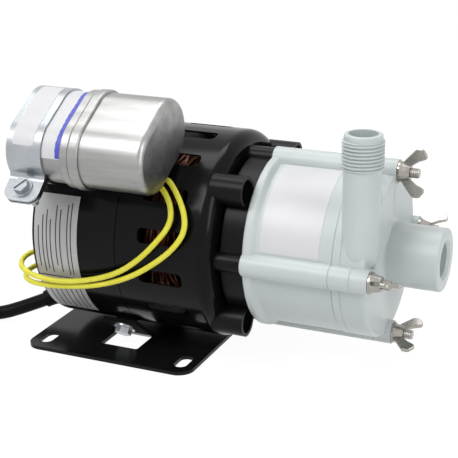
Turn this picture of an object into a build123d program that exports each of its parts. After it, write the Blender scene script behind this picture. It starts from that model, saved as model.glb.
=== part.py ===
from build123d import *
import math
import os

# Magnetic drive pump: a capacitor-run motor on a sheet-steel base, an adapter ring,
# and a plastic pump end with a tangential discharge, held by four studs and wing nuts.
# Millimetres. X runs along the pump axis towards the inlet, Y away from the nameplate
# side, Z up. The origin is the centre of the base's slot pattern on its underside.

# Base
axis_height = 65.25
base_length = 102.4
base_width = 112.6
base_thickness = 2.0
base_corner = 9.0
slot_pitch = 85.0
slot_length = 14.5
slot_width = 7.3
window_half = 11.4
window_inner = 16.5
window_outer = 38.4
tab_angle = 39.9
tab_length = 24.5
tab_width = 21.0
tab_bolt_at = 16.4
base_bolt_radius = 2.45

# Motor shells
shell_radius = 57.5
shell_wall = 1.2
rear_face = -41.6
seam_rear = 10.3
seam_front = 10.7
front_face = 64.9
rear_rounding = 3.0
shoulder_rounding = 7.3
vent_count = 16
vent_phase = 10.3
vent_length = 25.5
vent_width = 8.1
vent_front = 49.3
rear_vent_count = 8

# Motor inside
core_rear = -15.0
core_front = 21.0
core_radius = 56.2
stator_bore = 25.0
head_length = 19.0
head_inner = 30.0
head_outer = 48.5
rotor_radius = 24.6
shaft_radius = 5.0
shaft_rear = -39.5
shaft_front = 91.0
running_gap = 0.03
bearing_rear_radius = 9.0
bearing_front_radius = 11.0
fan_blades = 9

# Adapter ring
adapter_front = 79.4
adapter_wall_rear = 67.0
adapter_radius = 46.2
lobe_pitch = 51.2
lobe_front = 78.0
lobe_radius = 8.1
lobe_recess = 6.3
adapter_screw = 2.1

# Studs
stud_circle = 45.0
stud_radius = 2.4
stud_clear = 2.6
stud_tip = 158.4
boss_radius = 6.4
seam_ease = 0.4
adapter_rib = 5.5

# Pump end
body_front = 127.2
body_radius = 44.7
body_rim = 47.75
flange_front = 131.5
flange_boss_front = 138.5
cover_face = 144.5
cover_radius = 45.1
boss_front = 147.6
throat_front = 147.3
can_radius = 22.5
can_wall = 1.9
chamber_radius = 35.0
chamber_front = 139.5
inlet_radius = 16.83
inlet_end = 174.0
inlet_bore = 9.3
inlet_mouth = 10.9
eye_radius = 8.5
eye_front = 149.0
discharge_x = 139.1
discharge_y = -34.85
discharge_radius = 9.62
discharge_thread = 10.67
discharge_bore = 7.4
discharge_top = 138.1
discharge_nose = 2.9
thread_length = 14.6
spindle_radius = 3.0

# Capacitor, set in its own frame: u along the oval, n away from the motor axis
oval_angle = 31.1
oval_u = -12.4
oval_n = 77.2
can_major = 54.1
can_minor = 34.4
cap_major = 55.7
cap_minor = 36.05
cap_wall = 0.75
can_rear = -38.6
lid_face = 12.0
skirt_rear = -7.8
bead_rear = -3.4
bead_front = 2.9
cap_front = 38.5
clamp_rear = -39.7
clamp_front = -19.1
clamp_gauge = 1.2
ear_angle = 12.0
ear_reach = 33.4
ear_gap = 1.0
ear_bend = 3.4
ear_corner = 6.0
clamp_screw_at = 26.0

# Leads and power cord
lead_radius = 1.5
cord_radius = 4.0
relief_seat = (-12.5, 18.2)
cord_heading = 202.7
cord_end_heading = 217.7
coil_centre = (-171.6, -14.0)
coil_radii = (48.0, 40.0)
coil_base = 1.0
coil_stub = 29.6

pump_axis = Axis((0, 0, axis_height), (1, 0, 0))
u_dir = (math.cos(math.radians(oval_angle)), math.sin(math.radians(oval_angle)))
n_dir = (-u_dir[1], u_dir[0])


def turned(corners, radii=None):
    """Solid turned about the pump axis from (x, radius) corners, rounded by radii."""
    points = [(x, 0, axis_height + r) for x, r in corners]
    if radii is None:
        outline = Polyline(*points, close=True)
    else:
        outline = FilletPolyline(*points, radius=radii, close=True)
    return revolve(make_face(outline), pump_axis, 360)


def rod(start, end, radius, y=0.0, z=axis_height):
    """Round bar along X between two stations."""
    bar = Cylinder(radius, end - start, align=(Align.CENTER, Align.CENTER, Align.MIN))
    return Pos(start, y, z) * Rot(0, 90, 0) * bar


def about_axis(angle, shape):
    """Turn a shape made on the +Y side of a zero-height axis to its angle on the pump."""
    return Pos(0, 0, axis_height) * Rot(angle, 0, 0) * shape


def eased_rod(start, end, radius, angle):
    """Round bar on the stud circle with its rims eased, as at the parting lines."""
    bar = rod(start, end, radius, *on_circle(stud_circle, angle))
    return chamfer(bar.edges().filter_by(GeomType.CIRCLE), seam_ease)


def on_circle(radius, angle):
    """Y and Z of a point at an angle from +Y towards +Z about the pump axis."""
    turn = math.radians(angle)
    return radius * math.cos(turn), axis_height + radius * math.sin(turn)


def joined(solids):
    """Union of a list of solids."""
    whole = solids[0]
    for solid in solids[1:]:
        whole = whole + solid
    return whole


def peg(start, direction, length, radius):
    """Round bar from a point along any direction."""
    face = Plane(origin=start, z_dir=direction) * Circle(radius)
    return extrude(face, length)


def oval_plane(x):
    """Plane across the capacitor at a station, its own x along the oval."""
    y, z = oval_point(oval_u, oval_n)
    return Plane(origin=(x, y, z), x_dir=(0, *u_dir), z_dir=(1, 0, 0))


def oval_point(u, n):
    """Y and Z of a point given along and across the capacitor's oval."""
    return u * u_dir[0] + n * n_dir[0], axis_height + u * u_dir[1] + n * n_dir[1]


def oval(start, end, major, minor):
    """Oval prism of the capacitor between two stations."""
    return extrude(oval_plane(start) * SlotOverall(major, minor), end - start)


def rounded_oval(start, end, major, minor, radius, rounded_ends):
    """Oval prism with the rims at the named stations rounded."""
    form = oval(start, end, major, minor)
    rims = form.edges().filter_by(lambda edge: is_end(edge, rounded_ends))
    return fillet(rims, radius)


def is_end(edge, stations):
    """Whether an edge lies in one of some planes across X."""
    x = edge.center().X
    flat = edge.bounding_box().size.X < 0.01
    return flat and min(abs(x - station) for station in stations) < 0.01


def oval_box(x_span, u_span, n_span):
    """Block squared to the capacitor's oval."""
    centre = oval_point((u_span[0] + u_span[1]) / 2, (n_span[0] + n_span[1]) / 2)
    middle = ((x_span[0] + x_span[1]) / 2, *centre)
    size = (u_span[1] - u_span[0], n_span[1] - n_span[0], x_span[1] - x_span[0])
    return Plane(origin=middle, x_dir=(0, *u_dir), z_dir=(1, 0, 0)) * Box(*size)


def bend_radii(route):
    """Largest tangent arcs that the runs of a route allow, one for each corner."""
    radii = []
    for before, here, after in zip(route, route[1:], route[2:]):
        run_in = Vector(here) - Vector(before)
        run_out = Vector(after) - Vector(here)
        half_turn = math.radians(run_in.get_angle(run_out)) / 2
        radii.append(0.45 * min(run_in.length, run_out.length) / math.tan(half_turn))
    return radii


def tube(route, radius, name):
    """Cord as a round tube along straight runs and tangent arcs."""
    radii = bend_radii(route)
    path = FilletPolyline(*route, radius=radii)
    section = Plane(origin=path @ 0, z_dir=path % 0) * Circle(radius)
    solid = sweep(section, path=path)
    share = solid.volume / (math.pi * radius**2 * path.length)
    print(name, "radii", [round(r, 1) for r in radii])
    print(name, "length", round(path.length, 1), "volume share", round(share, 4))
    return solid


# Base plate with two lanced tabs

def base_plate():
    outline = RectangleRounded(base_length, base_width, base_corner)
    for side_x in (-1, 1):
        for side_y in (-1, 1):
            place = Pos(side_x * slot_pitch / 2, side_y * slot_pitch / 2)
            outline -= place * Rot(0, 0, 90) * SlotOverall(slot_length, slot_width)
    window_depth = window_outer - window_inner
    for side in (-1, 1):
        place = Pos(0, side * (window_inner + window_depth / 2))
        outline -= place * RectangleRounded(2 * window_half, window_depth, 1.5)
    plate = extrude(outline, base_thickness)
    for side in (-1, 1):
        plate += mirrored_side(side, tab())
    return plate


def mirrored_side(side, shape):
    """The shape made on the +Y side, or its mirror image on the -Y side."""
    if side > 0:
        return shape
    return mirror(shape, about=Plane.XZ)


def tab():
    """Tab bent up from the window's inner edge on the +Y side."""
    rise = math.radians(tab_angle)
    along = (math.cos(rise), math.sin(rise))
    up = (-math.sin(rise), math.cos(rise))
    root = (window_inner, base_thickness)
    tip = (root[0] + tab_length * along[0], root[1] + tab_length * along[1])
    corners = [
        (0, window_inner - 1.6, 0),
        (0, window_inner + 0.6, 0),
        (0, tip[0] - base_thickness * up[0], tip[1] - base_thickness * up[1]),
        (0, *tip),
        (0, *root),
        (0, window_inner - 1.6, base_thickness),
    ]
    profile = make_face(Polyline(*corners, close=True))
    strip = extrude(profile, tab_width / 2, dir=(1, 0, 0), both=True)
    hole = peg(*tab_line(-6), 12, base_bolt_radius + 0.15)
    return strip - hole


def tab_line(offset):
    """Point on the tab bolt's axis, offset from the tab's upper face, and its direction."""
    rise = math.radians(tab_angle)
    along = (math.cos(rise), math.sin(rise))
    up = (-math.sin(rise), math.cos(rise))
    y = window_inner + tab_bolt_at * along[0] + offset * up[0]
    z = base_thickness + tab_bolt_at * along[1] + offset * up[1]
    return (0, y, z), (0, *up)


def base_bolts():
    """Hex flange bolts through the tabs, heads outside."""
    point, inward = tab_line(-base_thickness)
    outward = (0, -inward[1], -inward[2])
    washer = peg(point, outward, 1.3, 6.2)
    head = extrude(Plane(origin=point, z_dir=outward) * RegularPolygon(4.7, 6), 4.6)
    shank = peg(point, inward, 4.2, base_bolt_radius)
    bolt = washer + head + shank
    return [mirrored_side(side, bolt) for side in (-1, 1)]


def mount_pads():
    """Threaded pads welded to the motor, seated on the tabs."""
    point, inward = tab_line(0)
    pad = peg(point, inward, 8, 6.0) - rod(-30, 30, shell_radius)
    pad -= peg(point, inward, 3.4, base_bolt_radius + 0.05)
    return [mirrored_side(side, pad) for side in (-1, 1)]


# Motor

def rear_shell():
    inner = shell_radius - shell_wall
    wall = rear_face + shell_wall
    corners = [
        (seam_rear, shell_radius),
        (rear_face, shell_radius),
        (rear_face, 0),
        (wall, 0),
        (wall, bearing_rear_radius + 0.05),
        (wall + 10, bearing_rear_radius + 0.05),
        (wall + 10, 12),
        (wall, 12),
        (wall, inner),
        (seam_rear, inner),
    ]
    radii = [0, rear_rounding, 0, 0, 0, 0, 0, 0, rear_rounding - shell_wall, 0]
    shell = turned(corners, radii)
    opening = Plane(origin=(rear_face - 1, 0, 0), x_dir=(0, 1, 0), z_dir=(1, 0, 0))
    slot = extrude(opening * Pos(25, 0) * SlotOverall(17, 5), 4)
    for index in range(rear_vent_count):
        shell -= about_axis(index * 360 / rear_vent_count + 22.5, slot)
    shell -= rod(rear_face - 1, wall + 1, 5.05, *relief_seat)
    for end in (lead_a_route[-1], lead_b_route[-1]):
        shell -= rod(rear_face - 1, wall + 1, 2.65, end[1], end[2])
    return shell


def front_shell():
    inner = shell_radius - shell_wall
    wall = front_face - shell_wall
    seat = bearing_front_radius + 0.05
    corners = [
        (seam_front, shell_radius),
        (front_face, shell_radius),
        (front_face, seat),
        (55, seat),
        (55, seat + 2.5),
        (wall, seat + 2.5),
        (wall, inner),
        (seam_front, inner),
    ]
    radii = [0, shoulder_rounding, 0, 0, 0, 0, shoulder_rounding - shell_wall, 0]
    shell = turned(corners, radii)
    middle = vent_front - vent_length / 2
    opening = Plane(origin=(middle, shell_radius - 5, 0), x_dir=(1, 0, 0), z_dir=(0, 1, 0))
    vent = extrude(opening * RectangleRounded(vent_length, vent_width, 2.6), 10)
    for index in range(vent_count):
        shell -= about_axis(vent_phase + index * 360 / vent_count, vent)
    for angle in (45, 135, 225, 315):
        shell -= rod(55, front_face + 5, adapter_screw + 0.05, *on_circle(lobe_pitch, angle))
    return shell


def shell_form():
    """Outer form of the front shell, for seating the adapter's lobes on it."""
    corners = [(40, 0), (40, shell_radius), (front_face, shell_radius), (front_face, 0)]
    return turned(corners, [0, 0, shoulder_rounding, 0])


def stator_core():
    core = rod(core_rear, core_front, core_radius) - rod(core_rear, core_front, stator_bore)
    plane = Plane(origin=(core_rear, 0, 0), x_dir=(0, 1, 0), z_dir=(1, 0, 0))
    slot = extrude(plane * Pos(35.5, 0) * SlotOverall(17, 3.6), core_front - core_rear)
    for index in range(24):
        core -= about_axis(index * 15, slot)
    return core


def stator_windings():
    """Coil heads that stand out of both ends of the core."""
    heads = []
    for near, far in ((core_front, core_front + head_length), (core_rear, core_rear - head_length)):
        corners = [(near, head_inner), (far, head_inner), (far, head_outer), (near, head_outer)]
        heads.append(turned(corners, [0, 6, 6, 0]))
    return heads


def rotor_core():
    """Rotor with a thicker end ring at each end, open round the shaft beyond the core."""
    ring_rear = core_rear - 3
    ring_front = core_front + 3
    corners = [
        (ring_rear, shaft_radius),
        (core_front, shaft_radius),
        (ring_front, 16),
        (ring_front, rotor_radius - 0.6),
        (core_front, rotor_radius),
        (core_rear, rotor_radius),
        (ring_rear, rotor_radius - 0.6),
    ]
    return turned(corners)


def cooling_fan():
    """Fan with slanted flat blades, on the shaft behind the front bearing."""
    hub = turned([(46.5, shaft_radius), (53.5, shaft_radius), (53.5, 13), (46.5, 13)])
    blade = Pos(50, 28.5, 0) * Rot(0, 40, 0) * Box(1.4, 33, 9)
    blade -= Pos(0, 0, -axis_height) * rod(40, 60, 12.5)
    fan = hub
    for index in range(fan_blades):
        fan += about_axis(index * 360 / fan_blades, blade)
    return fan


def bearing(start, end, radius):
    bore = shaft_radius + running_gap
    return turned([(start, bore), (end, bore), (end, radius), (start, radius)], [0, 0, 0.8, 0.8])


# Adapter ring

def adapter_ring():
    ring = turned(
        [
            (front_face, 14.5),
            (front_face, 41.0),
            (adapter_wall_rear, 41.0),
            (adapter_wall_rear, adapter_radius),
            (adapter_front, adapter_radius),
            (adapter_front, 41.8),
            (69.0, 41.8),
            (69.0, 14.5),
        ]
    )
    form = shell_form()
    inside = rod(60, adapter_front, 41.0)
    for angle in (45, 135, 225, 315):
        y, z = on_circle(lobe_pitch, angle)
        ring += rod(60, lobe_front, lobe_radius, y, z) - form - inside
    for angle in (0, 90, 180, 270):
        y, z = on_circle(stud_circle, angle)
        ring += rod(front_face, adapter_front, adapter_rib, y, z)
    for angle in (45, 135, 225, 315):
        y, z = on_circle(lobe_pitch, angle)
        ring -= rod(69.0, adapter_front, lobe_recess, y, z)
        ring -= rod(59.0, 70.0, adapter_screw + 0.1, y, z)
    for angle in (0, 90, 180, 270):
        y, z = on_circle(stud_circle, angle)
        ring -= rod(front_face, adapter_front, stud_radius + 0.05, y, z)
        ring -= rod(front_face, 68.9, 4.7, y, z)
    return ring


def adapter_screws():
    screws = []
    for angle in (45, 135, 225, 315):
        y, z = on_circle(lobe_pitch, angle)
        head = extrude(Plane(origin=(69.0, y, z), z_dir=(1, 0, 0)) * RegularPolygon(4.4, 6), 3.2)
        screws.append(head + rod(61.0, 69.0, adapter_screw, y, z))
    return screws


# Magnetic drive

def drive_hub():
    return turned(
        [
            (84, shaft_radius),
            (92, shaft_radius),
            (92, 12),
            (86.5, 12),
            (86.5, 29.6),
            (120, 29.6),
            (120, 33),
            (84, 33),
        ],
        [0, 0, 0, 0, 0, 0, 0, 3],
    ) - set_screw_bar(3.0, 35.0, 1.6)


def set_screw_bar(inner, outer, radius):
    """Radial bar on the hub, for the set screw and its hole."""
    return peg((89.2, 0, axis_height + inner), (0, 0, 1), outer - inner, radius)


def drive_magnet():
    return turned([(98, 24.2), (118, 24.2), (118, 29.55), (98, 29.55)], [0.6, 0.6, 0, 0])


def impeller_magnet():
    return turned([(101.8, 10), (125, 10), (125, 19), (101.8, 19)], [0, 0, 1.0, 1.0])


def impeller():
    """Semi-open impeller: a hub through the magnet, a disc and swept vanes."""
    bore = spindle_radius + 0.04
    body = turned(
        [
            (101.8, bore),
            (138.7, bore),
            (138.7, 5.2),
            (135.6, 8.5),
            (135.6, 31),
            (133.2, 31),
            (133.2, 15),
            (125, 15),
            (125, 10),
            (101.8, 10),
        ]
    )
    vane = extrude(make_face(vane_outline()), 3.0, dir=(1, 0, 0))
    for index in range(6):
        body += about_axis(index * 60, vane)
    return body


def vane_outline():
    """Outline of one vane on the disc: two arcs swept back from eye to rim."""
    x = 135.6
    root_in = (x, 9.0, 0.0)
    root_out = (x, 8.6, 2.2)
    tip_in = (x, 26.5, -14.5)
    tip_out = (x, 28.2, -12.6)
    inner_arc = ThreePointArc(root_in, (x, 19.5, -4.6), tip_in)
    outer_arc = ThreePointArc(root_out, (x, 20.4, -2.4), tip_out)
    return [inner_arc, Line(tip_in, tip_out), outer_arc, Line(root_out, root_in)]


# Pump end

def pump_body():
    body = turned(
        [
            (adapter_front, 40),
            (adapter_front, body_rim),
            (adapter_front + 4.2, body_rim),
            (adapter_front + 6.6, body_radius),
            (body_front, body_radius),
            (body_front, 40),
        ],
        [0, 1.2, 1.6, 1.6, seam_ease, 0],
    )
    body += [eased_rod(adapter_front, body_front, boss_radius, angle) for angle in (0, 90, 180, 270)]
    for angle in (0, 90, 180, 270):
        y, z = on_circle(stud_circle, angle)
        body -= rod(adapter_front, body_front, stud_clear, y, z)
    return body


def separator():
    """Flange and thin can between the drive magnet and the wet end."""
    inner = can_radius - can_wall
    flange = turned(
        [
            (94, 0),
            (94, can_radius),
            (body_front, can_radius),
            (body_front, cover_radius),
            (flange_front, cover_radius),
            (flange_front, 39.8),
            (flange_front - 2.4, 39.8),
            (flange_front - 2.4, 37.2),
            (flange_front, 37.2),
            (flange_front, inner),
            (96, inner),
            (96, 7.5),
            (100, 7.5),
            (100, spindle_radius),
            (96, spindle_radius),
            (96, 0),
        ],
        [0, 2.5, 0, seam_ease, seam_ease, 0, 0, 0, 0, 0, 1.0, 0, 0, 0, 0, 0],
    )
    for angle in (0, 90, 180, 270):
        lobe = eased_rod(body_front, flange_boss_front, boss_radius, angle)
        flange += lobe - rod(body_front, flange_front, 40.5)
    for angle in (0, 90, 180, 270):
        y, z = on_circle(stud_circle, angle)
        flange -= rod(body_front, flange_boss_front, stud_clear, y, z)
    return flange


def cover_seal():
    ring = Plane(origin=(flange_front - 1.2, 0, axis_height), z_dir=(1, 0, 0)) * Torus(38.5, 1.2)
    return ring


def volute_cover():
    """Front cover: volute, bosses, inlet neck and tangential discharge in one moulding."""
    cover = turned(
        [
            (flange_front, 0),
            (flange_front, cover_radius),
            (cover_face, cover_radius),
            (cover_face, inlet_radius),
            (inlet_end, inlet_radius),
            (inlet_end, 0),
        ],
        [0, seam_ease, 2.0, 2.6, 1.0, 0],
    )
    cover += throat()
    for angle in (0, 90, 180, 270):
        y, z = on_circle(stud_circle, angle)
        cover += rod(flange_front, boss_front, boss_radius, y, z)
    low = axis_height + 12.0
    pipe = Pos(discharge_x, discharge_y, low) * Cylinder(
        discharge_radius, discharge_top - low, align=(Align.CENTER, Align.CENTER, Align.MIN)
    )
    pipe = fillet(pipe.edges().filter_by(GeomType.CIRCLE).sort_by(Axis.Z)[-1], 0.9)
    pipe += Pos(discharge_x, discharge_y, low) * Sphere(discharge_radius)
    thread = Pos(discharge_x, discharge_y, discharge_top - discharge_nose) * Cylinder(
        discharge_thread, thread_length, align=(Align.CENTER, Align.CENTER, Align.MAX)
    )
    cover += pipe + thread
    cover -= rod(adapter_front, flange_front, cover_radius + 0.1)
    for angle in (0, 90, 180, 270):
        y, z = on_circle(stud_circle, angle)
        cover -= rod(adapter_front, flange_boss_front, boss_radius + 0.05, y, z)
    cover -= rod(flange_front, chamber_front, chamber_radius)
    cover -= rod(flange_front, inlet_end, eye_radius)
    cover -= turned(
        [
            (eye_front, 0),
            (eye_front, inlet_bore),
            (inlet_end - inlet_mouth + inlet_bore, inlet_bore),
            (inlet_end, inlet_mouth),
            (inlet_end, 0),
        ]
    )
    bore_floor = axis_height + 9.0
    cover -= Pos(discharge_x, discharge_y, bore_floor) * Cylinder(
        discharge_bore, 90, align=(Align.CENTER, Align.CENTER, Align.MIN)
    )
    for angle in (0, 90, 180, 270):
        y, z = on_circle(stud_circle, angle)
        cover -= rod(flange_front, boss_front, stud_clear, y, z)
    return cover + spindle_spider()


def throat():
    """Flat-faced swell that leads the volute into the discharge, up to the top boss."""
    outline = [
        (discharge_y, 44.5),
        (-2.0, 44.5),
        (-6.2, 34.0),
        (-6.2, 17.0),
        (-13.0, 11.0),
        (discharge_y, 3.0),
    ]
    points = [(flange_front, y, axis_height + z) for y, z in outline]
    face = make_face(FilletPolyline(*points, radius=[0, 0, 3, 4, 6, 0], close=True))
    swell = extrude(face, throat_front - flange_front, dir=(1, 0, 0))
    swell = fillet(swell.faces().sort_by(Axis.X)[-1].edges(), 1.4)
    return swell & rod(flange_front, throat_front, cover_radius - 0.4)


def spindle_spider():
    """Three thin arms in the eye that carry the spindle's front end."""
    hub = rod(140.2, 147.0, 5.0) - rod(140.2, 145.0, spindle_radius)
    arm = Pos(143.6, 7.2, 0) * Box(5.6, 5.4, 1.6)
    spider = hub
    for angle in (90, 210, 330):
        spider += about_axis(angle, arm)
    return spider


def studs():
    bars = []
    for angle in (0, 90, 180, 270):
        y, z = on_circle(stud_circle, angle)
        head = extrude(Plane(origin=(65.2, y, z), z_dir=(1, 0, 0)) * RegularPolygon(4.5, 6), 3.7)
        bars.append(head + rod(68.9, stud_tip, stud_radius, y, z))
    return bars


def wing_nut(angle, turn):
    """Wing nut seated on a boss: a flanged, tapered hub with two upswept wings."""
    base = boss_front + 0.1
    foot = Cylinder(5.6, 1.1, align=(Align.CENTER, Align.CENTER, Align.MIN))
    hub = foot + Pos(0, 0, 1.1) * Cone(5.0, 3.8, 5.1, align=(Align.CENTER, Align.CENTER, Align.MIN))
    lower_side = [(2.7, 1.2), (4.9, 1.5), (8.8, 4.8), (12.6, 8.2)]
    upper_side = [(12.6, 11.8), (8.0, 14.9), (5.8, 9.6), (3.1, 5.9)]
    points = [(out, 0, rise) for out, rise in lower_side + upper_side]
    outline = FilletPolyline(*points, radius=[0, 0, 4, 1.6, 2.2, 1.8, 5, 0], close=True)
    wing = extrude(make_face(outline), 1.1, dir=(0, 1, 0), both=True)
    rims = wing.edges().filter_by(lambda edge: abs(edge.center().Y) > 1 and edge.center().X > 5)
    wing = fillet(rims, 0.6)
    nut = hub + wing + Rot(0, 0, 180) * wing
    nut -= Cylinder(stud_radius + 0.06, 30)
    y, z = on_circle(stud_circle, angle)
    return Pos(base, y, z) * Rot(turn, 0, 0) * Rot(0, 90, 0) * nut


# Capacitor

def capacitor_can():
    can = rounded_oval(can_rear, lid_face, can_major, can_minor, 2.0, [can_rear])
    for side in (-1, 1):
        middle = oval_u + side * 9
        can += oval_box((lid_face, 20), (middle - 3, middle + 3), (oval_n - 0.4, oval_n + 0.4))
    return can


def capacitor_cap():
    """Drawn cap over the terminals, with a wider skirt and a rolled bead."""
    form = rounded_oval(skirt_rear, cap_front, cap_major, cap_minor, 3.2, [cap_front])
    form += rounded_oval(skirt_rear, bead_rear, cap_major + 1.6, cap_minor + 1.6, 0.5, [skirt_rear])
    bead_ends = [bead_rear, bead_front]
    form += rounded_oval(bead_rear, bead_front, cap_major + 3.0, cap_minor + 3.0, 1.3, bead_ends)
    inner_front = cap_front - cap_wall
    major = can_major + 0.1
    minor = can_minor + 0.1
    cap = form - rounded_oval(skirt_rear - 1, inner_front, major, minor, 2.4, [inner_front])
    for route in (lead_a_route, lead_b_route):
        outward = Vector(route[1]) - Vector(route[0])
        start = Vector(route[0]) - outward.normalized() * 6
        cap -= peg(start, outward, 6, 2.45)
        cap -= peg(route[0], outward, 6, lead_radius + 0.2)
    return cap


def lead_bushings():
    """Insulating bushings where the leads leave the cap."""
    bushings = []
    for route in (lead_a_route, lead_b_route):
        outward = (Vector(route[1]) - Vector(route[0])).normalized()
        bushings.append(peg(Vector(route[0]) - outward * 3.4, outward, 3.4, 2.4))
    return bushings


def lead_grommets():
    """Rubber grommets where the leads enter the rear shell."""
    grommets = []
    for route in (lead_a_route, lead_b_route):
        end = route[-1]
        flange = rod(rear_face - 1.4, rear_face, 3.8, end[1], end[2])
        flange = fillet(flange.edges().filter_by(lambda edge: edge.center().X < rear_face - 1), 0.6)
        inward = (Vector(end) - Vector(route[-2])).normalized()
        socket = peg(Vector(end) - inward * 3, inward, 3, lead_radius)
        grommets.append(flange + rod(rear_face, rear_face + 2.6, 2.6, end[1], end[2]) - socket)
    return grommets


def capacitor_clamp():
    """Band bent round the can into two ears, which a screw draws together."""
    major = can_major + 0.1
    minor = can_minor + 0.1
    depth = ear_gap + 2 * clamp_gauge
    outside = SlotOverall(major + 2 * clamp_gauge, minor + 2 * clamp_gauge) + ear_strip(ear_reach, depth)
    inside = SlotOverall(major, minor) + ear_strip(ear_reach + 2, ear_gap)
    outside = ease_ears(outside, minor / 2 + clamp_gauge, ear_bend)
    inside = ease_ears(inside, minor / 2, ear_bend + clamp_gauge)
    band = extrude(oval_plane(clamp_rear) * (outside - inside), clamp_front - clamp_rear)
    corners = band.edges().filter_by(is_ear_corner)
    band = fillet(corners, ear_corner)
    start, outward = clamp_screw_line(-6)
    return band - peg(start, outward, 12, 2.1)


def ear_strip(reach, depth):
    """Strip in the oval's plane along the ears, from the middle of the oval's end."""
    end_middle = -(can_major - can_minor) / 2
    return Pos(end_middle, 0) * Rot(0, 0, ear_angle) * Pos(-reach / 2, 0) * Rectangle(reach, depth)


def ease_ears(profile, radius, bend):
    """Round the two corners where the ears leave the band."""
    end_middle = Vector(-(can_major - can_minor) / 2, 0)

    def off_band(corner):
        return abs((Vector(corner.X, corner.Y) - end_middle).length - radius)

    roots = profile.vertices().sort_by(off_band)
    near = [corner for corner in roots if corner.X < end_middle.X - 5][:2]
    return fillet(near, bend)


def is_ear_corner(edge):
    """Whether an edge is a corner at an ear's tip."""
    centre = edge.center()
    tip_y, tip_z = ear_point(ear_reach, 0)
    at_tip = math.hypot(centre.Y - tip_y, centre.Z - tip_z) < ear_gap / 2 + clamp_gauge
    return at_tip and edge.bounding_box().size.X < 0.01


def ear_point(reach, rise):
    """Y and Z of a point along the ears and above the middle of their gap."""
    turn = math.radians(ear_angle)
    u = oval_u - (can_major - can_minor) / 2 - reach * math.cos(turn) - rise * math.sin(turn)
    n = oval_n - reach * math.sin(turn) + rise * math.cos(turn)
    return oval_point(u, n)


def clamp_screw_line(rise):
    """Point on the clamp screw's axis above the middle of the gap, and its direction."""
    y, z = ear_point(clamp_screw_at, rise)
    y_up, z_up = ear_point(clamp_screw_at, rise + 1)
    return ((clamp_rear + clamp_front) / 2, y, z), (0, y_up - y, z_up - z)


def clamp_screw():
    """Hex washer-head screw with a slot, through both ears."""
    seat = ear_gap / 2 + clamp_gauge
    point, outward = clamp_screw_line(seat)
    washer = peg(point, outward, 0.9, 5.4)
    head = extrude(Plane(origin=point, x_dir=(1, 0, 0), z_dir=outward) * RegularPolygon(4.3, 6), 4.0)
    slot_plane = Plane(origin=point, x_dir=(1, 0, 0), z_dir=outward)
    slot = extrude(slot_plane.offset(3.0) * Rot(0, 0, 50) * Rectangle(12, 1.2), 2)
    tip, _ = clamp_screw_line(-14.0)
    shank = peg(tip, outward, 14.0 + seat, 2.0)
    return washer + head - slot + shank


def clamp_saddle():
    """Saddle welded to the motor, under the clamp's flat side."""
    flat = oval_n - can_minor / 2 - 0.05 - clamp_gauge
    return oval_box((-36, -22), (-20, -3), (50, flat)) - rod(-60, 60, shell_radius)


# Power cord, coil and plug

def relief_frame():
    """Tip of the strain relief and the direction in which the cord leaves it."""
    tip = Vector(power_cord_route[0])
    leave = (Vector(power_cord_route[1]) - tip).normalized()
    return tip, leave


def cord_relief():
    """Tapered strain relief, bent down towards the surface that the pump stands on."""
    y, z = relief_seat
    barrel = rod(rear_face - 0.2, rear_face + 3.0, 5.0, y, z)
    flange = rod(rear_face - 1.8, rear_face, 6.3, y, z)
    tip, leave = relief_frame()
    start = Plane(origin=(rear_face - 1.8, y, z), z_dir=(-1, 0, 0))
    end = Plane(origin=tip, x_dir=start.x_dir, z_dir=leave)
    half = (Vector(rear_face - 1.8, y, z) + tip) * 0.5 + Vector(0, 0.6, 1.0)
    lean = (Vector(-1, 0, 0) + leave).normalized()
    middle = Plane(origin=half, x_dir=start.x_dir, z_dir=lean)
    sections = [start * Circle(6.0), middle * Circle(5.6), end * Circle(5.0)]
    return barrel + flange + loft(sections)


def beside_coil(heading, past, height):
    """Point on the tangent of the outer turns that runs at a heading, past its touching point."""
    turn = math.radians(heading)
    x = coil_centre[0] - coil_radii[0] * math.sin(turn) + past * math.cos(turn)
    y = coil_centre[1] + coil_radii[0] * math.cos(turn) + past * math.sin(turn)
    return x, y, height


def power_cord_coil():
    """Outer form of the wound cord, with a short stub at each end of its winding."""
    outer = coil_radii[0] + cord_radius
    inner = coil_radii[1] - cord_radius
    top = coil_base + 6 * cord_radius
    x, y = coil_centre
    corners = [(inner, coil_base), (outer, coil_base), (outer, top), (inner, top)]
    points = [(x + r, y, z) for r, z in corners]
    outline = FilletPolyline(*points, radius=3.4, close=True)
    ring = revolve(make_face(outline), Axis((x, y, 0), (0, 0, 1)), 360)
    into = Vector(power_cord_route[-1]) - Vector(power_cord_route[-2])
    ring += peg(power_cord_route[-1], into, coil_stub, cord_radius)
    out = Vector(cord_end_route[0]) - Vector(cord_end_route[1])
    return ring + peg(cord_end_route[0], out, coil_stub, cord_radius)


def cord_tie():
    """Strap round the coil's section."""
    outer = coil_radii[0] + cord_radius
    inner = coil_radii[1] - cord_radius
    top = coil_base + 6 * cord_radius
    middle = (inner + outer) / 2
    block = Pos(middle, 0, (top + 1) / 2) * Box(outer - inner + 2, 9, top + 1)
    hole = Pos(middle, 0, (coil_base + top) / 2) * Box(outer - inner, 9, top - coil_base)
    strap = Pos(coil_centre[0], coil_centre[1], 0) * Rot(0, 0, 60) * (block - hole)
    return strap - power_cord_coil()


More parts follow.
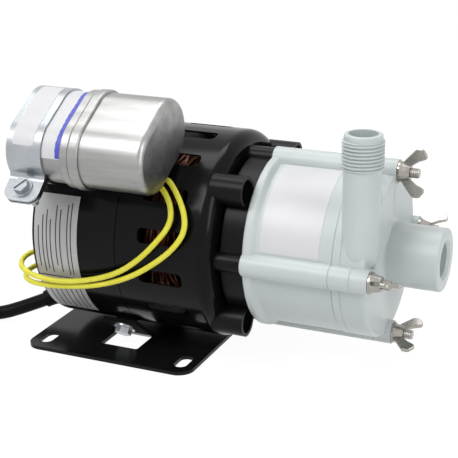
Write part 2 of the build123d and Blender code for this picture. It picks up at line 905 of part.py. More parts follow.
def power_plug():
    """Moulded plug with a tapered tail, lying on the surface."""
    tail_end = Vector(cord_end_route[-1])
    forward = (tail_end - Vector(cord_end_route[-2])).normalized()
    plane = Plane(origin=tail_end, x_dir=(-forward.Y, forward.X, 0), z_dir=forward)
    tail = loft([plane * Circle(4.8), plane.offset(18) * Circle(7.0)])
    body = loft(
        [
            plane.offset(17) * RectangleRounded(19, 17, 5),
            plane.offset(24) * RectangleRounded(25, 22, 6),
            plane.offset(44) * RectangleRounded(26, 22, 6),
        ],
        ruled=True,
    )
    return tail + body


def plug_blades():
    tail_end = Vector(cord_end_route[-1])
    forward = (tail_end - Vector(cord_end_route[-2])).normalized()
    face = Plane(origin=tail_end, x_dir=(-forward.Y, forward.X, 0), z_dir=forward).offset(44)
    blades = [extrude(face * Pos(side * 6.35, 2.5) * Rectangle(1.5, 6.4), 16) for side in (-1, 1)]
    blades.append(extrude(face * Pos(0, -5.5) * Circle(2.4), 19))
    return blades


# Routes of the leads and the cord, from one point to the next

lead_a_route = [
    (30.5, -44.4, 106.9),
    (34.5, -43.75, 105.84),
    (40.0, -46.9, 105.3),
    (50.5, -54.6, 95.0),
    (53.4, -58.6, 84.5),
    (47.5, -60.8, 74.5),
    (36.0, -61.5, 64.5),
    (20.0, -60.8, 54.0),
    (0.0, -59.2, 46.2),
    (-20.0, -57.4, 42.0),
    (-38.0, -57.4, 40.6),
    (-48.5, -54.6, 41.4),
    (-53.0, -46.0, 42.6),
    (-50.2, -37.4, 44.0),
    (-43.0, -35.0, 44.8),
]
lead_b_route = [
    (24.5, -46.6, 104.6),
    (28.5, -45.9, 103.4),
    (35.5, -48.4, 102.6),
    (43.5, -54.6, 95.5),
    (44.8, -58.4, 86.5),
    (37.0, -60.9, 76.0),
    (27.0, -62.0, 65.5),
    (13.0, -61.4, 55.4),
    (-7.0, -59.6, 48.0),
    (-26.0, -59.2, 44.8),
    (-41.0, -59.6, 46.6),
    (-50.0, -56.4, 49.0),
    (-53.6, -48.0, 51.2),
    (-50.4, -39.6, 53.0),
    (-43.0, -37.2, 53.6),
]
power_cord_route = [
    (-59.0, -18.6, 13.8),
    (-72.0, -23.2, 8.4),
    (-86.0, -29.6, 4.0),
    (-106.0, -38.6, 4.2),
    beside_coil(cord_heading, -coil_stub, 4.7),
]
cord_end_route = [
    beside_coil(cord_end_heading, coil_stub, 17.5),
    (-183.0, -83.6, 15.0),
    (-205.6, -88.0, 12.6),
    (-226.8, -82.1, 12.2),
]


def write_all():
    os.makedirs("parts", exist_ok=True)
    nodes = {
        "base_plate": base_plate(),
        "base_bolts": base_bolts(),
        "mount_pads": mount_pads(),
        "rear_shell": rear_shell(),
        "front_shell": front_shell(),
        "stator_core": stator_core(),
        "stator_windings": stator_windings(),
        "rear_bearing": bearing(rear_face + shell_wall, -31.0, bearing_rear_radius),
        "front_bearing": bearing(55.5, 64.5, bearing_front_radius),
        "motor_shaft": rod(shaft_rear, shaft_front, shaft_radius),
        "rotor_core": rotor_core(),
        "cooling_fan": cooling_fan(),
        "adapter_ring": adapter_ring(),
        "adapter_screws": adapter_screws(),
        "drive_hub": drive_hub(),
        "drive_magnet": drive_magnet(),
        "hub_set_screw": set_screw_bar(5.0, 11.5, 1.55),
        "pump_body": pump_body(),
        "separator": separator(),
        "cover_seal": cover_seal(),
        "volute_cover": volute_cover(),
        "impeller": impeller(),
        "impeller_magnet": impeller_magnet(),
        "impeller_spindle": rod(96.0, 145.0, spindle_radius),
        "rear_thrust_washer": turned([(100, 3.1), (101.5, 3.1), (101.5, 7), (100, 7)]),
        "front_thrust_washer": turned([(139.0, 3.1), (140.2, 3.1), (140.2, 5), (139.0, 5)]),
        "studs": studs(),
        "wing_nut_back": wing_nut(0, -60),
        "wing_nut_top": wing_nut(90, -15),
        "wing_nut_front": wing_nut(180, -110),
        "wing_nut_bottom": wing_nut(270, -70),
        "capacitor_can": capacitor_can(),
        "capacitor_cap": capacitor_cap(),
        "capacitor_clamp": capacitor_clamp(),
        "clamp_screw": clamp_screw(),
        "clamp_saddle": clamp_saddle(),
        "lead_bushings": lead_bushings(),
        "lead_grommets": lead_grommets(),
        "capacitor_lead_a": tube(lead_a_route, lead_radius, "lead a"),
        "capacitor_lead_b": tube(lead_b_route, lead_radius, "lead b"),
        "cord_relief": cord_relief(),
        "power_cord": tube(power_cord_route, cord_radius, "power cord"),
        "power_cord_coil": power_cord_coil(),
        "power_cord_end": tube(cord_end_route, cord_radius, "cord end"),
        "cord_tie": cord_tie(),
        "power_plug": power_plug(),
        "plug_blades": plug_blades(),
    }
    for name, shape in nodes.items():
        if isinstance(shape, list):
            shape = Compound(children=shape)
        export_step(shape, f"parts/{name}.step")


write_all()
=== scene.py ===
import bmesh
import bpy
import math
import numpy as np
from mathutils import Matrix, Vector


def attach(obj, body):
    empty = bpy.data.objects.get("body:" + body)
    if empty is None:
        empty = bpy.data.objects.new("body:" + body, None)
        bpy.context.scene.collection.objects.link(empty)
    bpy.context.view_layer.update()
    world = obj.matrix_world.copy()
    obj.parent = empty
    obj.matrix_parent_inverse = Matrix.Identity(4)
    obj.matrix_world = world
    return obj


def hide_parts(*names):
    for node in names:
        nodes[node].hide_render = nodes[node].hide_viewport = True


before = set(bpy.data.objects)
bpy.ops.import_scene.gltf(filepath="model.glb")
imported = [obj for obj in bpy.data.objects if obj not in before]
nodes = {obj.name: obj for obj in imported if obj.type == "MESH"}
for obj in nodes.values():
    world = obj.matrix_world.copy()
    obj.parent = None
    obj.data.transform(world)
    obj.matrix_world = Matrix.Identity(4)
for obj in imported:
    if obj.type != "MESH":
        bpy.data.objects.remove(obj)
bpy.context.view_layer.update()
mm = 0.001
axisHeight = 65.25      # the pump axis above the floor, in mm like every length unless noted

blendFromTo = (0.25, 0.75)      # the part of the wide noise over which two tones blend
floorHeight = -0.2              # a little below the object, so that the two never share a face

print("stage: helpers")


# a grid of points (rows, columns, 3) in mm becomes quads, and the columns may close on themselves
def gridPiece(name, points, wrapColumns=False, smooth=True):
    rows, columns = points.shape[:2]
    r, c = flatGrid(rows - 1, columns if wrapColumns else columns - 1)
    here, below = r * columns, (r + 1) * columns
    cNext = (c + 1) % columns
    quads = np.stack([here + c, here + cNext, below + cNext, below + c], 1)
    return meshPiece(name, points.reshape(-1, 3), quads.tolist(), smooth)


# the whole-number places of a grid, one flat array for each of its directions
def flatGrid(*counts):
    return [g.ravel() for g in np.meshgrid(*(np.arange(n) for n in counts), indexing="ij")]


def meshPiece(name, verts, faces, smooth=True):
    mesh = bpy.data.meshes.new(name)
    mesh.from_pydata((np.asarray(verts, float) * mm).tolist(), [], faces)
    mesh.update()
    mesh.polygons.foreach_set("use_smooth", np.full(len(mesh.polygons), smooth))
    return linked(name, mesh)


def linked(name, data):
    piece = bpy.data.objects.new(name, data)
    bpy.context.scene.collection.objects.link(piece)
    return piece


# points at an angle (degrees, from +Y towards +Z) and a radius about the pump axis
def aroundAxis(x, radius, degrees):
    a = np.radians(degrees)
    height = axisHeight + radius * np.sin(a)
    return np.stack(np.broadcast_arrays(x, radius * np.cos(a), height), -1)


def unit(v):
    return v / np.maximum(np.linalg.norm(v, axis=-1, keepdims=True), 1e-9)


# a round tube along many paths at once: each ring is the path point plus radius times (cos a of one
# direction plus sin a of another), both square to the path, and the first also square to a given up
def tubes(name, paths, radius, sides, up):
    count, steps = paths.shape[:2]
    along = unit(np.gradient(paths, axis=1))
    side = unit(np.cross(along, np.asarray(up, float)))
    other = np.cross(side, along)
    a = np.linspace(0, 2 * np.pi, sides, endpoint=False)[:, None]
    spokes = np.cos(a) * side[:, :, None] + np.sin(a) * other[:, :, None]
    verts = (paths[:, :, None] + radius * spokes).reshape(-1, 3)
    path, step, spoke = flatGrid(count, steps - 1, sides)
    first = (path * steps + step) * sides
    turned = (spoke + 1) % sides
    quads = np.stack([first + spoke, first + turned, first + sides + turned,
                      first + sides + spoke], 1)
    ends = []
    for n in range(count):
        start, end = n * steps * sides, (n * steps + steps - 1) * sides
        ends.append([start + i for i in range(sides)][::-1])
        ends.append([end + i for i in range(sides)])
    return meshPiece(name, verts, quads.tolist() + ends)


# the length in mm of the line that a NURBS curve really follows, read from it with no bevel
def curveLength(points):
    piece = linked("line", routeCurve("line", points, 0.0))
    bpy.context.view_layer.update()
    mesh = bpy.data.meshes.new_from_object(piece)
    line = np.empty(len(mesh.vertices) * 3)
    mesh.vertices.foreach_get("co", line)
    bpy.data.objects.remove(piece)
    return np.linalg.norm(np.diff(line.reshape(-1, 3) / mm, axis=0), axis=1).sum()


def routeCurve(name, points, radius, resolution=8):
    data = bpy.data.curves.new(name, "CURVE")
    data.dimensions = "3D"
    data.resolution_u = resolution
    data.bevel_depth = radius * mm
    data.bevel_resolution = 5
    data.use_fill_caps = True
    spline = data.splines.new("NURBS")
    spline.points.add(len(points) - 1)
    for point, place in zip(spline.points, points):
        point.co = (place[0] * mm, place[1] * mm, place[2] * mm, 1.0)
    spline.order_u = 3
    spline.use_endpoint_u = True
    return data


# one shader with a patterned colour and a patterned surface: wide noise (blotch) blends two tones,
# fine noise (grain) changes roughness and bump, and stretch squashes both along an axis
def surface(name, colour, other, roughness, metal=0.0, specular=0.5, blotch=60.0, grain=900.0,
            bump=0.05, stretch=(1.0, 1.0, 1.0), roughSpread=0.08, bumpDistance=0.0002,
            dullAbove=None):
    material = bpy.data.materials.new(name)
    material.use_nodes = True
    tree = material.node_tree
    shader = tree.nodes["Principled BSDF"]
    shader.inputs["Metallic"].default_value = metal
    shader.inputs["Specular IOR Level"].default_value = specular
    where = tree.nodes.new("ShaderNodeTexCoord")
    mapping = tree.nodes.new("ShaderNodeMapping")
    mapping.inputs["Scale"].default_value = stretch
    tree.links.new(where.outputs["Object"], mapping.inputs["Vector"])
    wide = noise(tree, mapping, blotch, detail=3.0)
    fine = noise(tree, mapping, grain, detail=2.0)
    ramp = tree.nodes.new("ShaderNodeValToRGB")
    for stop, place, tone in zip(ramp.color_ramp.elements, blendFromTo, (colour, other)):
        stop.position = place
        stop.color = (*tone, 1)
    tree.links.new(wide.outputs["Fac"], ramp.inputs["Fac"])
    tree.links.new(ramp.outputs["Color"], shader.inputs["Base Color"])
    spread = tree.nodes.new("ShaderNodeMapRange")
    spread.inputs["To Min"].default_value = roughness - roughSpread
    spread.inputs["To Max"].default_value = roughness + roughSpread
    tree.links.new(fine.outputs["Fac"], spread.inputs["Value"])
    tree.links.new(spread.outputs["Result"], shader.inputs["Roughness"])
    lift = tree.nodes.new("ShaderNodeBump")
    lift.inputs["Strength"].default_value = bump
    lift.inputs["Distance"].default_value = bumpDistance
    tree.links.new(fine.outputs["Fac"], lift.inputs["Height"])
    tree.links.new(lift.outputs["Normal"], shader.inputs["Normal"])
    if dullAbove:
        fadeShine(tree, where, spread, shader, dullAbove)
    return material


# the metal turns fully rough between two heights in mm, as where the motor shelters it: the
# roughness is the larger of its own pattern and a ramp of the height
def fadeShine(tree, where, spread, shader, heights):
    split = tree.nodes.new("ShaderNodeSeparateXYZ")
    tree.links.new(where.outputs["Object"], split.inputs[0])
    fade = tree.nodes.new("ShaderNodeMapRange")
    fade.inputs["From Min"].default_value = heights[0] * mm
    fade.inputs["From Max"].default_value = heights[1] * mm
    tree.links.new(split.outputs["Z"], fade.inputs["Value"])
    larger = tree.nodes.new("ShaderNodeMath")
    larger.operation = "MAXIMUM"
    tree.links.new(spread.outputs["Result"], larger.inputs[0])
    tree.links.new(fade.outputs["Result"], larger.inputs[1])
    tree.links.new(larger.outputs[0], shader.inputs["Roughness"])


def noise(tree, mapping, scale, detail):
    node = tree.nodes.new("ShaderNodeTexNoise")
    node.inputs["Scale"].default_value = scale
    node.inputs["Detail"].default_value = detail
    tree.links.new(mapping.outputs["Vector"], node.inputs["Vector"])
    return node


def dress(piece, material):
    piece.data.materials.clear()
    piece.data.materials.append(material)


def dressNode(name, material):
    for slot in nodes[name].material_slots:
        slot.material = material


# a new piece gets its material and the body it rides on, and the nodes it stands for are hidden
def finishPiece(piece, material, body, slot, *replaced):
    dress(piece, material)
    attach(piece, body)
    if replaced:
        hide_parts(*replaced)


print("stage: finishes")

blackEnamel = surface("blackEnamel", (0.003, 0.003, 0.0034), (0.005, 0.005, 0.0056), 0.16,
                      specular=0.11, blotch=35, grain=420, bump=0.06,
                      roughSpread=0.05, bumpDistance=0.0001)
plateEnamel = surface("plateEnamel", (0.006, 0.006, 0.0064), (0.009, 0.009, 0.009), 0.2,
                      specular=0.14, blotch=40, grain=500, bump=0.08,
                      roughSpread=0.06, bumpDistance=0.0001, dullAbove=(2.6, 3.4))
ringPlastic = surface("ringPlastic", (0.0035, 0.0035, 0.004), (0.006, 0.006, 0.0065), 0.32,
                      specular=0.12, blotch=70, grain=1500, bump=0.12,
                      roughSpread=0.06, bumpDistance=0.00006)
whitePolymer = surface("whitePolymer", (0.505, 0.56, 0.56), (0.57, 0.61, 0.608), 0.36,
                       specular=0.4, blotch=22, grain=1300, bump=0.08,
                       roughSpread=0.05, bumpDistance=0.00006)
stainless = surface("stainless", (0.46, 0.44, 0.40), (0.30, 0.285, 0.26), 0.24, metal=1.0,
                    blotch=180, bump=0.25, bumpDistance=0.00012)
zincSteel = surface("zincSteel", (0.46, 0.48, 0.50), (0.36, 0.385, 0.41), 0.3, metal=1.0,
                    blotch=90, grain=800, bump=0.08, bumpDistance=0.00006)
spunAluminium = surface("spunAluminium", (0.43, 0.43, 0.42), (0.27, 0.27, 0.27), 0.38, metal=1.0,
                        blotch=160, grain=1100, bump=0.22, stretch=(0.08, 1.0, 1.0),
                        roughSpread=0.12, bumpDistance=0.0001)
turnedSteel = surface("turnedSteel", (0.42, 0.42, 0.43), (0.33, 0.33, 0.34), 0.28, metal=1.0,
                      blotch=100, bump=0.1, stretch=(3.0, 1.0, 1.0))
laminations = surface("laminations", (0.10, 0.10, 0.105), (0.17, 0.17, 0.175), 0.4, metal=1.0,
                      blotch=2500, grain=2500, bump=0.3, stretch=(1.0, 0.03, 0.03))
copperWire = surface("copperWire", (0.05, 0.010, 0.005), (0.15, 0.042, 0.014), 0.36, metal=0.5,
                     blotch=300, grain=1200, bump=0.1)
darkMoulding = surface("darkMoulding", (0.006, 0.006, 0.006), (0.010, 0.010, 0.010), 0.42,
                       specular=0.15, blotch=90, grain=1400, bump=0.15, bumpDistance=0.00008)
cordRubber = surface("cordRubber", (0.004, 0.004, 0.004), (0.008, 0.008, 0.008), 0.36,
                     specular=0.05, blotch=80, grain=1200, bump=0.12, bumpDistance=0.00008)
magnetFerrite = surface("magnetFerrite", (0.035, 0.035, 0.038), (0.055, 0.055, 0.06), 0.5,
                        specular=0.4, blotch=200, grain=1800, bump=0.2)
castHub = surface("castHub", (0.42, 0.42, 0.42), (0.34, 0.34, 0.34), 0.5, metal=1.0,
                  blotch=150, bump=0.3)
ceramicWhite = surface("ceramicWhite", (0.78, 0.76, 0.70), (0.72, 0.70, 0.64), 0.2,
                       grain=1500, bump=0.03)
yellowSleeve = surface("yellowSleeve", (0.70, 0.65, 0.035), (0.78, 0.74, 0.07), 0.38, specular=0.4,
                       blotch=140, grain=1200, bump=0.08, bumpDistance=0.00006)
paperWhite = surface("paperWhite", (0.62, 0.62, 0.64), (0.66, 0.66, 0.68), 0.34, specular=0.4,
                     blotch=50, grain=1800, bumpDistance=0.00004)
silverLabel = surface("silverLabel", (0.40, 0.40, 0.40), (0.45, 0.45, 0.45), 0.36, metal=0.2,
                      grain=1800, bumpDistance=0.00004)
printInk = surface("printInk", (0.03, 0.03, 0.03), (0.06, 0.06, 0.06), 0.5,
                   blotch=300, grain=1500, bump=0.03)
markerInk = surface("markerInk", (0.05, 0.06, 0.42), (0.09, 0.10, 0.55), 0.4,
                    blotch=250, grain=1200, bump=0.03)
bladeBrass = surface("bladeBrass", (0.66, 0.52, 0.27), (0.55, 0.43, 0.21), 0.25, metal=1.0,
                     blotch=100)

finishes = {
    "base_plate": plateEnamel, "mount_pads": plateEnamel, "clamp_saddle": plateEnamel,
    "rear_shell": blackEnamel, "front_shell": blackEnamel,
    "stator_core": laminations, "rotor_core": laminations,
    "rear_bearing": turnedSteel, "front_bearing": turnedSteel,
    "motor_shaft": turnedSteel, "hub_set_screw": turnedSteel,
    "adapter_ring": ringPlastic, "drive_hub": castHub,
    "drive_magnet": magnetFerrite, "impeller_magnet": magnetFerrite,
    "pump_body": whitePolymer, "separator": whitePolymer,
    "impeller": whitePolymer, "volute_cover": whitePolymer,
    "impeller_spindle": ceramicWhite,
    "rear_thrust_washer": ceramicWhite, "front_thrust_washer": ceramicWhite,
    "studs": stainless, "wing_nut_back": stainless, "wing_nut_top": stainless,
    "wing_nut_front": stainless, "wing_nut_bottom": stainless,
    "base_bolts": zincSteel, "adapter_screws": zincSteel,
    "capacitor_clamp": zincSteel, "clamp_screw": zincSteel,
    "capacitor_can": spunAluminium, "capacitor_cap": spunAluminium,
    "cooling_fan": darkMoulding, "cover_seal": darkMoulding, "cord_tie": darkMoulding,
    "lead_bushings": darkMoulding, "lead_grommets": darkMoulding,
    "cord_relief": cordRubber, "power_plug": cordRubber, "plug_blades": bladeBrass,
}
for name, material in finishes.items():
    dressNode(name, material)

print("stage: camera, floor and lights")

bpy.context.scene.view_settings.view_transform = "Standard"

photoCamera = {"place": (313.47, -585.37, 289.51), "turn": 24.1127, "dip": 19.1989,
               "roll": -0.5844, "lens": 95.914, "sensor": 36, "clip": (0.01, 20)}


# the camera looks along +Y turned to the left by "turn", dipped below level by "dip" and rolled
# about its own line, all in degrees
def addCamera(c):
    turn, dip, roll = (math.radians(c[k]) for k in ("turn", "dip", "roll"))
    back = Vector((math.sin(turn) * math.cos(dip), -math.cos(turn) * math.cos(dip),
                   math.sin(dip)))
    right = Vector((math.cos(turn), math.sin(turn), 0))
    up = back.cross(right)
    across = right * math.cos(roll) + up * math.sin(roll)
    upright = up * math.cos(roll) - right * math.sin(roll)
    camera = linked("photoCamera", bpy.data.cameras.new("photoCamera"))
    camera.data.lens = c["lens"]
    camera.data.sensor_width = c["sensor"]
    camera.data.clip_start, camera.data.clip_end = c["clip"]
    turned = Matrix((across, upright, back)).transposed().to_4x4()
    camera.matrix_world = Matrix.Translation(Vector(c["place"]) * mm) @ turned
    bpy.context.scene.camera = camera


addCamera(photoCamera)

studio = {"worldGrey": 0.42,
          "floor": {"white": 0.8, "rough": 0.7, "specular": 0.1, "glow": 0.9, "light": 1.06,
                    "reach": 4000.0},
          "lamps": {        # place, target, width and depth in metres, then watts
              "keyLamp": ((-0.45, -1.0, 1.25), (0.03, 0, 0.07), 0.7, 0.7, 12.0),
              "sideLamp": ((1.5, -0.5, 0.7), (0.05, 0, 0.06), 0.6, 1.0, 8.0),
              "topLamp": ((-0.3, 0.35, 1.5), (0.05, 0, 0.06), 1.0, 0.6, 9.0)}}


# white to the camera, in reflections and through glass, a softer grey as light on the object
def addWorld(grey):
    world = bpy.data.worlds.new("studioWorld")
    world.use_nodes = True
    tree = world.node_tree
    tree.nodes.clear()
    out = tree.nodes.new("ShaderNodeOutputWorld")
    mix = tree.nodes.new("ShaderNodeMixShader")
    soft, white = tree.nodes.new("ShaderNodeBackground"), tree.nodes.new("ShaderNodeBackground")
    soft.inputs["Color"].default_value = (grey, grey, grey * 1.01, 1)
    white.inputs["Color"].default_value = (1, 1, 1, 1)
    tree.links.new(seenRays(tree), mix.inputs[0])
    tree.links.new(soft.outputs[0], mix.inputs[1])
    tree.links.new(white.outputs[0], mix.inputs[2])
    tree.links.new(mix.outputs[0], out.inputs[0])
    bpy.context.scene.world = world


# 1 for rays from the camera and for reflected and passed ones, else 0
def seenRays(tree):
    path = tree.nodes.new("ShaderNodeLightPath")
    first, both = tree.nodes.new("ShaderNodeMath"), tree.nodes.new("ShaderNodeMath")
    first.operation = both.operation = "MAXIMUM"
    tree.links.new(path.outputs["Is Camera Ray"], first.inputs[0])
    tree.links.new(path.outputs["Is Glossy Ray"], first.inputs[1])
    tree.links.new(first.outputs[0], both.inputs[0])
    tree.links.new(path.outputs["Is Transmission Ray"], both.inputs[1])
    return both.outputs[0]


# a pale floor that mixes in its own white light where it is seen, and keeps the object's shadow
def addFloor(c):
    material = bpy.data.materials.new("studioFloor")
    material.use_nodes = True
    tree = material.node_tree
    shader, out = tree.nodes["Principled BSDF"], tree.nodes["Material Output"]
    shader.inputs["Base Color"].default_value = (c["white"], c["white"], c["white"], 1)
    shader.inputs["Roughness"].default_value = c["rough"]
    shader.inputs["Specular IOR Level"].default_value = c["specular"]
    light, mix = tree.nodes.new("ShaderNodeEmission"), tree.nodes.new("ShaderNodeMixShader")
    light.inputs["Color"].default_value = (1, 1, 1, 1)
    light.inputs["Strength"].default_value = c["light"]
    part = tree.nodes.new("ShaderNodeMath")
    part.operation = "MULTIPLY"
    part.inputs[1].default_value = c["glow"]
    tree.links.new(seenRays(tree), part.inputs[0])
    tree.links.new(part.outputs[0], mix.inputs[0])
    tree.links.new(shader.outputs[0], mix.inputs[1])
    tree.links.new(light.outputs[0], mix.inputs[2])
    tree.links.new(mix.outputs[0], out.inputs["Surface"])
    edges = np.array([-c["reach"], c["reach"]])
    x, y = np.meshgrid(edges, edges, indexing="ij")
    points = np.stack([x, y, np.full_like(x, floorHeight)], -1)
    floor = gridPiece("studioFloor", points, smooth=False)
    dress(floor, material)


def addLamp(name, place, target, width, depth, watts):
    lamp = linked(name, bpy.data.lights.new(name, "AREA"))
    lamp.data.shape = "RECTANGLE"
    lamp.data.size, lamp.data.size_y = width, depth
    lamp.data.energy = watts
    lamp.location = place
    lamp.rotation_euler = (Vector(target) - Vector(place)).to_track_quat("-Z", "Y").to_euler()


addWorld(studio["worldGrey"])
addFloor(studio["floor"])
for name, facts in studio["lamps"].items():
    addLamp(name, *facts)

print("stage: power cord and leads")

powerCord = {
    "radius": 4.0, "coilCentre": (-171.6, -14.0), "outer": 48.0, "inner": 40.0,
    "base": 5.0, "step": 8.0, "stub": 29.6, "pointsPerTurn": 16, "stepShare": 6,
    "heading": 202.7, "endHeading": 217.7, "inHeight": 4.7, "outHeight": 17.5,
    "start": [(-59.0, -18.6, 13.8), (-72.0, -23.2, 8.4), (-86.0, -29.6, 4.0),
              (-106.0, -38.6, 4.2)],
    "turns": [(1, 0), (0, 0), (0, 1), (1, 1), (0, 2), (1, 2)],      # place out and up of each
    "end": [(-183.0, -83.6, 15.0), (-205.6, -88.0, 12.6), (-226.8, -82.1, 12.2)],
}


# the coil's turns: the angle falls steadily, and radius and height step from place to place in the
# bundle once a turn, over a sixth of the turn; a curve of this order cuts its corners, so the
# points stand outside the arc by the share that it takes off
def coilPoints(c):
    places = np.array(c["turns"], float)
    first = math.radians(c["heading"] + 90)
    last = math.radians(c["endHeading"] + 90) - 2 * math.pi * len(places)
    count = int(round((first - last) / (2 * math.pi) * c["pointsPerTurn"]))
    angle = np.linspace(first, last, count + 1)
    spot = (first - angle) / (2 * math.pi)
    whole = np.minimum(spot.astype(int), len(places) - 1)
    step = np.clip((spot - whole) * c["stepShare"], 0, 1)
    before = places[np.maximum(whole - 1, 0)]
    where = before + (places[whole] - before) * (step * step * (3 - 2 * step))[:, None]
    radius = c["inner"] + (c["outer"] - c["inner"]) * where[:, 0]
    grown = radius / (0.75 + 0.25 * math.cos(2 * math.pi / c["pointsPerTurn"]))
    x = c["coilCentre"][0] + grown * np.cos(angle)
    y = c["coilCentre"][1] + grown * np.sin(angle)
    return [tuple(p) for p in np.stack([x, y, c["base"] + c["step"] * where[:, 1]], 1)]


# a point on the coil's tangent at a heading, so far past the place where it touches
def besideCoil(c, heading, past, height):
    turn = math.radians(heading)
    return (c["coilCentre"][0] - c["outer"] * math.sin(turn) + past * math.cos(turn),
            c["coilCentre"][1] + c["outer"] * math.cos(turn) + past * math.sin(turn), height)


def makePowerCord(c):
    route = c["start"] + [besideCoil(c, c["heading"], -c["stub"], c["inHeight"])]
    route += coilPoints(c)
    route += [besideCoil(c, c["endHeading"], c["stub"], c["outHeight"])] + c["end"]
    piece = linked("powerCord", routeCurve("powerCord", route, c["radius"]))
    finishPiece(piece, cordRubber, "housing", "cord_jacket",
                "power_cord", "power_cord_coil", "power_cord_end")
    length = curveLength(route)
    print("power cord length, mm:", round(length))


makePowerCord(powerCord)

leads = {
    "radius": 1.5, "resolution": 12,
    "routes": {
        "capacitor_lead_a": [
            (30.5, -44.4, 106.9), (34.5, -43.75, 105.84), (40.0, -46.9, 105.3),
            (50.5, -54.6, 95.0), (53.4, -58.6, 84.5), (47.5, -60.8, 74.5), (36.0, -61.5, 64.5),
            (20.0, -60.8, 54.0), (0.0, -59.2, 46.2), (-20.0, -57.4, 42.0), (-38.0, -57.4, 40.6),
            (-48.5, -54.6, 41.4), (-53.0, -46.0, 42.6), (-50.2, -37.4, 44.0),
            (-43.0, -35.0, 44.8)],
        "capacitor_lead_b": [
            (24.5, -46.6, 104.6), (28.5, -45.9, 103.4), (35.5, -48.4, 102.6),
            (43.5, -54.6, 95.5), (44.8, -58.4, 86.5), (37.0, -60.9, 76.0), (27.0, -62.0, 65.5),
            (13.0, -61.4, 55.4), (-7.0, -59.6, 48.0), (-26.0, -59.2, 44.8), (-41.0, -59.6, 46.6),
            (-50.0, -56.4, 49.0), (-53.6, -48.0, 51.2), (-50.4, -39.6, 53.0),
            (-43.0, -37.2, 53.6)],
    },
}


def makeLead(c, name, route):
    piece = linked(name + "Wire", routeCurve(name + "Wire", route, c["radius"], c["resolution"]))
    finishPiece(piece, yellowSleeve, "housing", "yellow_insulation", name)
    length = curveLength(route)
    print(name, "length, mm:", round(length))


for name, route in leads["routes"].items():
    makeLead(leads, name, route)

print("stage: labels")

sheets = {"gap": 0.03, "thick": 0.12, "rows": 8, "columns": 40,
          "ovalThick": 0.1, "ovalRows": 6, "sharpAbove": 40}


# a thin sheet bent round the motor or pump: rows follow x and columns the angle
def wrappedSheet(name, radius, xSpan, angleSpan):
    x = np.linspace(*xSpan, sheets["rows"])
    a = np.linspace(*angleSpan, sheets["columns"])
    xx, aa = np.meshgrid(x, a, indexing="ij")
    low = radius + sheets["gap"]
    return thickSheets(name, [(aroundAxis(xx, low, aa), aroundAxis(xx, low + sheets["thick"], aa))])


# each sheet is two grids of points, one over the other, and the four strips between their edges
def thickSheets(name, pairs):
    verts, faces, tops = [], [], []
    for under, over in pairs:
        rows, columns = over.shape[:2]
        n = rows * columns
        r, c = flatGrid(rows - 1, columns - 1)
        here, below = r * columns + c, (r + 1) * columns + c
        top = np.stack([here, here + 1, below + 1, below], 1)
        rim = np.concatenate([np.arange(columns),
                              np.arange(1, rows) * columns + columns - 1,
                              (rows - 1) * columns + np.arange(columns - 2, -1, -1),
                              np.arange(rows - 2, 0, -1) * columns])
        ahead = np.roll(rim, -1)
        edge = np.stack([ahead, rim, rim + n, ahead + n], 1)
        faces.append(np.vstack([top, top[:, ::-1] + n, edge]) + sum(len(v) for v in verts))
        tops += [True] * len(top) + [False] * (len(top) + len(edge))
        verts.append(np.vstack([over.reshape(-1, 3), under.reshape(-1, 3)]))
    piece = meshPiece(name, np.vstack(verts), np.vstack(faces).tolist(), smooth=False)
    piece.data.polygons.foreach_set("use_smooth", np.array(tops))
    piece.data.set_sharp_from_angle(angle=math.radians(sheets["sharpAbove"]))
    return piece


motorLabels = {
    "radius": 57.5, "x": (-38.9, -12.3), "upper": (152.0, 199.2), "lower": (199.9, 230.0),
    "ruleWidth": 0.7, "ruleLift": 0.14, "ruleThick": 0.05, "ruleSteps": 24,
    "rules": [      # x, then the first and last angle: eight on the upper label, seven below
        (-36.2, 170, 194), (-33.6, 164, 197), (-31.2, 161, 195), (-28.8, 166, 197),
        (-25.4, 158, 192), (-22.8, 160, 196), (-18.4, 157, 197), (-16.2, 156, 197),
        (-35.4, 203, 226), (-32.0, 203, 227), (-28.6, 204, 226), (-25.2, 203, 228),
        (-21.8, 203, 226), (-18.4, 204, 228), (-15.4, 203, 226)],
}


# plain printed rules that run round the motor where the rating plates have their lines
def makeRules(m):
    pairs = []
    for x, start, end in m["rules"]:
        side = np.array([x - m["ruleWidth"] / 2, x + m["ruleWidth"] / 2])
        xx, aa = np.meshgrid(side, np.linspace(start, end, m["ruleSteps"]), indexing="ij")
        low = m["radius"] + m["ruleLift"]
        pairs.append((aroundAxis(xx, low, aa), aroundAxis(xx, low + m["ruleThick"], aa)))
    finishPiece(thickSheets("labelRules", pairs), printInk, "housing", "capacitor_metal")


def makeMotorLabels(m):
    for name in ("upper", "lower"):
        label = wrappedSheet(name + "MotorLabel", m["radius"], m["x"], m[name])
        finishPiece(label, silverLabel, "housing", "capacitor_metal")
    makeRules(m)


makeMotorLabels(motorLabels)

pumpLabel = {"radius": 44.7, "x": (87.8, 120.0), "angles": (99.5, 170.3)}
finishPiece(wrappedSheet("pumpLabel", pumpLabel["radius"], pumpLabel["x"], pumpLabel["angles"]),
            paperWhite, "housing", "white_plastic")

# the ovals' centre along (u) and across (n) their own long side, their turn, and each one's
# length and depth
capacitor = {"u": -12.4, "n": 77.2, "turn": 31.1, "can": (54.1, 34.4), "clamp": (56.6, 36.9)}


